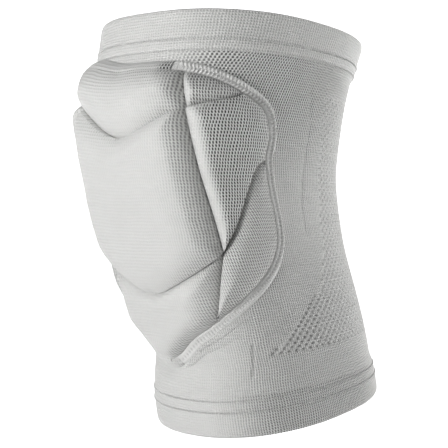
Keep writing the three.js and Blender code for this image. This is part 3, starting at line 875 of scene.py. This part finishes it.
def welt():
    """The welt with the rows of thread on its two ridges."""
    path = welt_loop(WELT_STEP)
    across, run = path_frame(path)
    welt_band(path, across, run)
    top, foot, tip, low_left, top_left = (
        run[np.argmin(np.linalg.norm(path - place, axis=1))] for place in unrolled(WELT_PLACES)
    )
    rows = (
        ("braid_right", top, foot, BRAID_STAGGER, BRAID),
        ("braid_left", run[-1] - foot, run[-1] - top_left, BRAID_STAGGER, BRAID),
        ("stitches_right", foot, tip, 0, PLAIN),
        ("stitches_left", run[-1] - low_left, run[-1] - foot, 0, PLAIN),
    )
    for row, start, end, stagger, style in rows:
        size = {key: style[key] for key in ("reach", "lift", "thick")}
        for ridge, sign, first in (("out", 1, start), ("in", -1, start + stagger)):
            along_welt(
                f"welt_{row}_{ridge}", path, across, run, np.arange(first, end, style["pitch"]),
                shift=sign * WELT_RIDGE, slant=sign * style["slant"], **size,
            )


# The folded edge of the cover: across it the share of its width and its height, and the shares of the
# pad's wrap where it grows, fades and ends
ALLOWANCE_PROFILE = np.array([
    (0.0, -0.5), (0.0, 0.9), (0.02, 1.0), (0.3, 1.0), (0.6, 1.1), (0.8, 1.1), (0.92, 0.95), (1.0, 0.6),
    (1.03, 0.1), (1.03, -0.5),
])
ALLOWANCE_WIDTH = 6.2
ALLOWANCE_GROWS = (-0.06, 0.14)
ALLOWANCE_FADES = (0.32, 0.72)
ALLOWANCE_UP = 0.35
ALLOWANCE_OPEN = 0.35
STITCH_MARGINS = (6, 20)


def allowance():
    """The folded edge of the cover, stitched down beside the lower right side of the welt."""
    path = welt_loop(WELT_STEP)
    across, run = path_frame(path)
    wrap = path[:, 0] / PAD_REACH
    low = path[:, 1] < PAD_RISE + ALLOWANCE_UP * PAD_HEIGHT
    size = ramp(wrap, *ALLOWANCE_GROWS) * (1 - ramp(wrap, *ALLOWANCE_FADES)) * low
    kept = size > 0.01
    path, across, size, run, wrap = path[kept], across[kept], size[kept], run[:-1][kept], wrap[kept]
    width = ALLOWANCE_WIDTH * np.clip((wrap + 0.08) / 0.42, 0.08, 1.3) ** 0.9
    flat = path + across * (WELT_WIDTH / 2 - 0.3 + width * ALLOWANCE_PROFILE[:, :1])[..., None]
    high = ALLOWANCE_PROFILE[:, 1:] * size - 0.5 * (1 - size)
    points = raised(flat, high).reshape(-1, 3)
    count, rows = len(path), len(ALLOWANCE_PROFILE)
    i, j = np.meshgrid(np.arange(rows), np.arange(count - 1), indexing="ij")
    i, j = i.ravel(), j.ravel()
    below = (i + 1) % rows
    faces = np.stack([i * count + j, i * count + j + 1, below * count + j + 1, below * count + j], 1)
    faces = [tuple(face) for face in faces]
    faces += [tuple(np.arange(rows) * count), tuple((np.arange(rows) * count + count - 1)[::-1])]
    obj = piece("welt_allowance", points, faces, PAD, flat.reshape(-1, 2))
    set_open_and_shade(obj, np.full(len(points), ALLOWANCE_OPEN))
    outwards(obj)
    on_frame(obj, "welt")
    allowance_stitches(path, across, run, size, width)


def allowance_stitches(path, across, run, size, width):
    """The crossed stitches that hold the folded edge down."""
    marks = np.arange(run[0] + STITCH_MARGINS[0], run[-1] - STITCH_MARGINS[1], WELT_STITCH)
    at = np.stack([np.interp(marks, run, path[:, k]) for k in (0, 1)], 1)
    side = np.stack([np.interp(marks, run, across[:, k]) for k in (0, 1)], 1)
    at = at + side * (WELT_WIDTH / 2 + 0.3 * np.interp(marks, run, width))[:, None]
    height = np.interp(marks, run, size)
    lift = 1.1 * height - 0.4 * (1 - height)
    middles = raised(at, lift)
    ahead = raised(np.roll(at, -1, axis=0), lift) - middles
    ahead[-1] = ahead[-2]
    ahead /= np.linalg.norm(ahead, axis=1)[:, None]
    out = raised(at, lift + 1) - middles
    for stroke, sign in (("a", 1), ("b", -1)):
        stitches(
            "allowance_stitches_" + stroke, middles + sign * 0.5 * ahead, ahead, np.cross(ahead, out), out,
            0.9, sign * 1.28, 0.35, 0.4, "welt",
        )


# The sleeve
# Edge of the openwork on either side: share of the sleeve's height and degrees from the front
VENT_EDGE = np.array([
    (0.18, 50), (0.194, 52), (0.24, 64), (0.289, 77), (0.34, 91), (0.434, 101), (0.553, 104), (0.583, 104),
    (0.683, 104), (0.766, 102), (0.83, 102),
])
VENT_FROM, VENT_TO = 0.187, 0.825
VENT_PITCH = 4.5
VENT_ROW = 1.9
VENT_SIZE = (1.05, 0.7)
VENT_DEPTH = 1.25

# A sewn dart and a line in the knit, as degrees from the front and shares of the sleeve's height
DART = [(42, 0.217), (39.5, 0.144)]
DART_DEPTH = 0.9
DART_FOLD = 1.6  # distance from the dart to the low fold beside it
KNIT_LINE = [(91, 0.84), (93.7, 0.744), (92, 0.647), (88.9, 0.551), (88.6, 0.479)]
KNIT_LINE_DEPTH = 0.4

HEM_MEETS = 0.5
EDGE = 0.04  # height of the last row of a mesh beside its end face
SLEEVE_STEP = 0.86
INNER_ROWS = 14
SHEAR = 0.0055  # how fast the columns of stitches lean over beside the pad's top
SHEAR_FROM = 130
CALM_HEIGHT, CALM_SPAN = 112, 34  # where the stitches at the side of the knee are less open


def inside(points, loop):
    """Which points lie inside a closed path."""
    odd = np.zeros(len(points), bool)
    for start, end in zip(loop, np.roll(loop, -1, axis=0)):
        if start[1] == end[1]:
            continue
        between = (start[1] > points[:, 1]) != (end[1] > points[:, 1])
        cross = start[0] + (points[:, 1] - start[1]) / (end[1] - start[1]) * (end[0] - start[0])
        odd ^= between & (points[:, 0] < cross)
    return odd


def vent_zone(place):
    """1 in the openwork round the back of the knee and 0 outside it."""
    at = place[:, 1] / SLEEVE_HEIGHT
    edge = np.radians(np.interp(at, VENT_EDGE[:, 0], VENT_EDGE[:, 1])) * NOMINAL_RADIUS
    return (np.abs(place[:, 0]) > edge) & (at > 0.187) & (at < 0.825)


def vents(place):
    """Depth of the staggered openwork dimples, 0 to 1."""
    row = np.round(place[:, 1] / VENT_ROW)
    shift = (row % 2) * VENT_PITCH / 2
    column = np.round((place[:, 0] - shift) / VENT_PITCH)
    x, y = column * VENT_PITCH + shift, row * VENT_ROW
    here = vent_zone(np.stack([x, y], 1))
    gap = np.hypot((place[:, 0] - x) / 1.05, (place[:, 1] - y) / 0.7)
    return here * np.exp(-gap**3)


def round_sleeve(table):
    """A path of degrees from the front and shares of the sleeve's height, on the unrolled sleeve in mm."""
    table = np.array(table)
    return np.stack([np.radians(table[:, 0]) * NOMINAL_RADIUS, table[:, 1] * SLEEVE_HEIGHT], 1)


def groove(place, path, width):
    """1 on a path and 0 away from it."""
    return np.exp(-(nearest(place, path)[0] / width) ** 2)


def sleeve_out(place):
    """How far the knit stands out at each place of the unrolled sleeve, and the shade painted into its
    dimples, dart and knit line and beside the pad.
    """
    loop = worn(welt_loop(2.2))
    gap, _ = nearest(place, np.concatenate([loop, loop[:1]]))
    outer = ~inside(place, loop)
    angle = np.degrees(place[:, 0] / NOMINAL_RADIUS)
    top = hidden_welt(place)
    climb = 0.8 * ramp(-gap, -WELT_INSET - 4, -WELT_INSET) * outer * top
    swell = 0.5 * np.exp(-(gap / 5) ** 2) * outer * (1 - top) + climb
    dimples = vents(place) * (1 - 0.3 * ramp(angle, 66, 95))
    dart = groove(place, round_sleeve(DART), 0.65)
    fold = groove(place, round_sleeve(DART) + (DART_FOLD, 0), 0.8)
    line = groove(place, round_sleeve(KNIT_LINE), 0.9)
    edge = np.minimum(place[:, 1] - CUFF_HEIGHT, SLEEVE_HEIGHT - CUFF_HEIGHT - place[:, 1])
    soft = 0.35 * waves(place, 45, 5) * ramp(edge, 0, 12)
    meeting = HEM_MEETS * (1 - ramp(edge, 0, 4))
    out = swell + soft + meeting - VENT_DEPTH * dimples
    out = out - DART_DEPTH * dart + 0.35 * fold - KNIT_LINE_DEPTH * line
    # Painted shade: dark in the openwork dimples, along the dart and the knit line, and at the foot of the
    # pad beside the welt
    soil = 0.8 * dimples + 0.6 * dart + 0.15 * line + 0.08 * np.exp(-gap / 1.2) * outer * (1 - top)
    return out, soil


def sleeve_open_and_shade(place):
    """How far the sleeve's stitches are open and shaded, with painted shade where the cloth turns across the
    light: less in the openwork, low down and at the side of the knee.
    """
    turn = place[:, 0] / NOMINAL_RADIUS
    at_side = ramp(np.abs(np.degrees(turn)), 58, 72)
    calm = 0.65 * np.exp(-((place[:, 1] - CALM_HEIGHT) / CALM_SPAN) ** 2) * at_side
    strong = 0.6 + 0.4 * ramp(place[:, 1], 90, 150) - 0.35 * vent_zone(place)
    return open_and_shade_round(turn) * (1 - calm) * strong


def sleeve():
    """The knitted tube between the cuffs, with its openwork outside and its plain inside."""
    count = round(TURN * NOMINAL_RADIUS / SLEEVE_STEP)
    angles = np.arange(count) / count * TURN - math.pi
    low, high = CUFF_HEIGHT + EDGE, SLEEVE_HEIGHT - CUFF_HEIGHT - EDGE
    heights = np.linspace(low, high, round((high - low) / SLEEVE_STEP))
    heights = np.concatenate([[low, low + EDGE], heights[1:-1], [high - EDGE, high]])
    across, up = np.meshgrid(angles * NOMINAL_RADIUS, heights)
    place = np.stack([across.ravel(), up.ravel()], 1)
    out, soil = sleeve_out(place)
    outside = on_sleeve(place[:, 0] / NOMINAL_RADIUS, place[:, 1], out)
    inner_heights = np.linspace(high, low, INNER_ROWS)
    within = on_sleeve(*np.meshgrid(angles, inner_heights), -KNIT_WALL).reshape(-1, 3)
    faces, corners = strip_faces(count, len(heights) + INNER_ROWS)
    wide = np.append(angles, angles[0] + TURN) * NOMINAL_RADIUS
    tall = np.append(np.concatenate([heights, inner_heights]), low)
    uv = np.stack(np.meshgrid(wide, tall), -1).reshape(-1, 2)
    round_side = np.abs(np.degrees(uv[:, 0] / NOMINAL_RADIUS))
    pulled = ramp(round_side, 8, 62) * (1 - ramp(round_side, 75, 125)) * np.sign(uv[:, 0])
    uv[:, 0] -= SHEAR * np.maximum(uv[:, 1] - SHEAR_FROM, 0) ** 2 * pulled
    inner_zeros = np.zeros(len(within))
    points = np.concatenate([outside, within])
    obj = piece("sleeve_knit", points, faces, KNIT, uv, corners, np.concatenate([soil, inner_zeros]))
    set_open_and_shade(obj, np.concatenate([sleeve_open_and_shade(place), inner_zeros]))
    outwards(obj)
    on_frame(obj, "knit", "sleeve")


# The cuffs
# Outside of each cuff: distance in from the rim and height out of the knit
TOP_HEM = np.array([
    (0.0, -0.9), (0.25, -0.2), (0.8, 0.4), (1.8, 0.75), (3.2, 0.9), (8.0, 0.95), (12.0, 0.95), (13.2, 0.95),
    (14.3, 0.95), (15.4, 1.1), (16.6, 1.25), (17.6, 1.2), (18.6, 0.95), (19.4, 0.7), (20.0, 0.5),
])
BOTTOM_HEM = np.array([
    (0.0, -1.5), (0.25, -0.6), (0.8, 0.1), (1.8, 0.55), (3.2, 0.8), (8.0, 0.95), (10.2, 0.95), (11.3, 0.95),
    (12.2, 0.95), (13.2, 1.0), (14.6, 1.05), (16.0, 0.95), (17.4, 0.75), (18.6, 0.6), (20.0, 0.5),
])
# Inside of either cuff, from the knit back to the rim, in the same way
HEM_INSIDE = np.array([
    (CUFF_HEIGHT, -KNIT_WALL), (12, -KNIT_WALL), (5, -KNIT_WALL), (2, -KNIT_WALL), (0.6, -1.75), (0.15, -1.3),
])
HEM_COLUMNS = 860
LOOP_PITCH = 2.2
LOOPS = round(TURN * NOMINAL_RADIUS / LOOP_PITCH)
LOOP_GAP_SHADE = 0.45  # how dark the painted shade in the gaps between the loops is, and how far it reaches from the row
LOOP_REACH = 0.7


def cuff(name, rim, inwards, hem, rows, open_and_shade_share):
    """A folded hem between its rim and the knit, with its rows of looped stitches."""
    angles = np.arange(HEM_COLUMNS) / HEM_COLUMNS * TURN - math.pi
    fine = np.concatenate([np.linspace(0, 2, 9), np.linspace(2.4, CUFF_HEIGHT - EDGE, 48), [CUFF_HEIGHT]])
    depth = np.concatenate([fine, HEM_INSIDE[:, 0]])
    out = np.concatenate([smooth_at(hem, fine), HEM_INSIDE[:, 1]])
    around, up = np.meshgrid(angles, rim + inwards * depth)
    spread = np.broadcast_to(out[:, None], around.shape).copy()
    flat = np.stack([around * NOMINAL_RADIUS, up], -1)
    spread[:len(fine)] += (0.16 * waves(flat, 34, 8) + 0.05 * waves(flat, 8, 9))[:len(fine)]
    points = on_sleeve(around, up, spread).reshape(-1, 3)
    faces, corners = strip_faces(HEM_COLUMNS, len(depth))
    wide = np.append(angles, math.pi) * NOMINAL_RADIUS
    uv = np.stack(np.meshgrid(wide, np.append(rim + inwards * depth, rim)), -1).reshape(-1, 2)
    # Painted shade in the gaps between the loops of each row, faint at the front and darkest where the cuff
    # turns across the light
    marks = (0.5 + 0.5 * np.cos(angles * LOOPS)) ** 2 * (0.1 + 0.9 * open_and_shade_round(angles))
    soil = np.zeros(around.shape)
    for row in rows:
        gap = np.abs(fine - row)[:, None] * (fine[:, None] < CUFF_HEIGHT)
        soil[:len(fine)] += LOOP_GAP_SHADE * np.exp(-(gap / LOOP_REACH) ** 4) * marks
    obj = piece(name + "_hem", points, faces, CUFF, uv, corners, soil.ravel())
    set_open_and_shade(obj, open_and_shade_round(around.ravel()) * open_and_shade_share)
    outwards(obj)
    on_frame(obj, "cuff", name)
    for number, row in enumerate(rows):
        looped_row(f"{name}_stitches_{number}", rim + inwards * row, hem, row, 1 if number else -1)


def looped_row(name, height, hem, depth, slant):
    """One row of loops round a cuff, each loop a crossing pair of threads."""
    turn = np.arange(LOOPS) / LOOPS * TURN
    lift = float(smooth_at(hem, np.array(depth))) + 0.2
    middles = on_sleeve(turn, height, lift)
    along = on_sleeve(turn + 0.01, height, lift) - middles
    along /= np.linalg.norm(along, axis=1)[:, None]
    out = on_sleeve(turn, height, lift + 1) - middles
    for stroke, sign in (("a", 1), ("b", -1)):
        stitches(
            name + stroke, middles - sign * 0.25 * LOOP_PITCH * along, along, np.cross(along, out), out,
            0.6, slant * sign * 0.88, 0.3, 0.5,
        )


# Stage, light and camera, in metres
AZIMUTH = math.radians(45)
ELEVATION = math.radians(-1.9)
DISTANCE = 0.68
AIM = Vector((-0.00042, -0.00212, 0))
LENS = 101.4
FLOOR = -0.3
SWEEP_FROM = 1.8  # where the floor begins to rise, behind the object
SWEEP_RADIUS = 0.7
SWEEP_ENDS = (-2.5, 2.5)
SWEEP_HALF_WIDTH = 3
GLOW_BEHIND = (0.05, 0.5)
GLOW_AROUND = (0.8, 1.5)


def towards(azimuth, elevation):
    """The direction of a place seen from the origin, by radians from the front and up."""
    level = math.cos(elevation)
    return Vector((math.sin(azimuth) * level, -math.cos(azimuth) * level, math.sin(elevation)))


def aimed(name, data, direction, location):
    """An object at a place, looking against a direction."""
    obj = bpy.data.objects.new(name, data)
    obj.location = location
    obj.rotation_mode = "QUATERNION"
    obj.rotation_quaternion = (-direction).to_track_quat("-Z", "Y")
    bpy.context.scene.collection.objects.link(obj)
    return obj


def camera():
    """The photo's viewpoint."""
    data = bpy.data.cameras.new("camera")
    data.lens = LENS
    data.clip_start = 0.01
    direction = towards(AZIMUTH, ELEVATION)
    bpy.context.scene.camera = aimed("camera", data, direction, AIM + direction * DISTANCE)


def area_light(name, azimuth, elevation, distance, size, power):
    """A round light at degrees from the front and up, aimed at the origin."""
    data = bpy.data.lights.new(name, "AREA")
    data.shape = "DISK"
    data.size = size
    data.energy = power
    direction = towards(math.radians(azimuth), math.radians(elevation))
    aimed(name, data, direction, direction * distance)


def backdrop_material(away):
    """Pale and matt, and glowing white behind the object and far from it."""
    nodes = Nodes("backdrop")
    position = nodes.new("NewGeometry").outputs["Position"]
    place = nodes.new("SeparateXYZ")
    nodes.put(place.inputs[0], position)
    sideways = nodes.math("MULTIPLY", place.outputs["Y"], away.y)
    back = nodes.math("MULTIPLY_ADD", place.outputs["X"], away.x, sideways)
    far = nodes.new("VectorMath", operation="LENGTH")
    nodes.put(far.inputs[0], position)
    around = nodes.step(far.outputs["Value"], *GLOW_AROUND)
    sockets = nodes.shader.inputs
    sockets["Base Color"].default_value = (0.9, 0.9, 0.9, 1)
    sockets["Roughness"].default_value = 0.9
    sockets["Specular IOR Level"].default_value = 0
    sockets["Emission Color"].default_value = (1, 1, 1, 1)
    nodes.put(sockets["Emission Strength"], nodes.math("MAXIMUM", nodes.step(back, *GLOW_BEHIND), around))
    return nodes.material


def stage():
    """A pale floor that sweeps up into a bright backdrop behind the object."""
    away = Vector((-math.sin(AZIMUTH), math.cos(AZIMUTH), 0))
    side = Vector((math.cos(AZIMUTH), math.sin(AZIMUTH), 0))
    profile = [(SWEEP_ENDS[0], 0), (0.3, 0), (1.2, 0), (SWEEP_FROM, 0)]
    for t in np.linspace(0.1, math.pi / 2, 12):
        profile.append((SWEEP_FROM + SWEEP_RADIUS * math.sin(t), SWEEP_RADIUS - SWEEP_RADIUS * math.cos(t)))
    profile.append((SWEEP_ENDS[1], SWEEP_ENDS[1]))
    verts = []
    for x in (-SWEEP_HALF_WIDTH, SWEEP_HALF_WIDTH):
        verts += [away * d + side * x + Vector((0, 0, FLOOR + h)) for d, h in profile]
    count = len(profile)
    faces = [(i, i + 1, count + i + 1, count + i) for i in range(count - 1)]
    mesh = bpy.data.meshes.new("sweep")
    mesh.from_pydata([tuple(v) for v in verts], [], faces)
    mesh.polygons.foreach_set("use_smooth", [True] * len(mesh.polygons))
    mesh.materials.append(backdrop_material(away))
    sweep = bpy.data.objects.new("sweep", mesh)
    bpy.context.scene.collection.objects.link(sweep)


def light():
    """A soft key from the front, a fill from above, a light behind the right side, and a white world that
    only the camera sees."""
    world = bpy.data.worlds.new("studio")
    world.use_nodes = True
    tree = world.node_tree
    tree.nodes["Background"].inputs["Color"].default_value = (1, 1, 1, 1)
    seen = tree.nodes.new("ShaderNodeLightPath").outputs["Is Camera Ray"]
    tree.links.new(seen, tree.nodes["Background"].inputs["Strength"])
    world.cycles.sampling_method = "NONE"
    bpy.context.scene.world = world
    area_light("key", -2, -3, distance=1.4, size=0.4, power=9.4)
    area_light("upper", 15, 42, distance=1.4, size=0.6, power=4.0)
    area_light("rim", 150, 10, distance=1.4, size=0.6, power=13)
    bpy.context.scene.view_settings.view_transform = "Standard"


camera()
light()
stage()
sleeve()
cuff("top_cuff", SLEEVE_HEIGHT, -1, TOP_HEM, (14.3, 19.4), 0.4)
cuff("bottom_cuff", 0, 1, BOTTOM_HEM, (12.2, 17.4), 1)
welt()
allowance()
lobes()
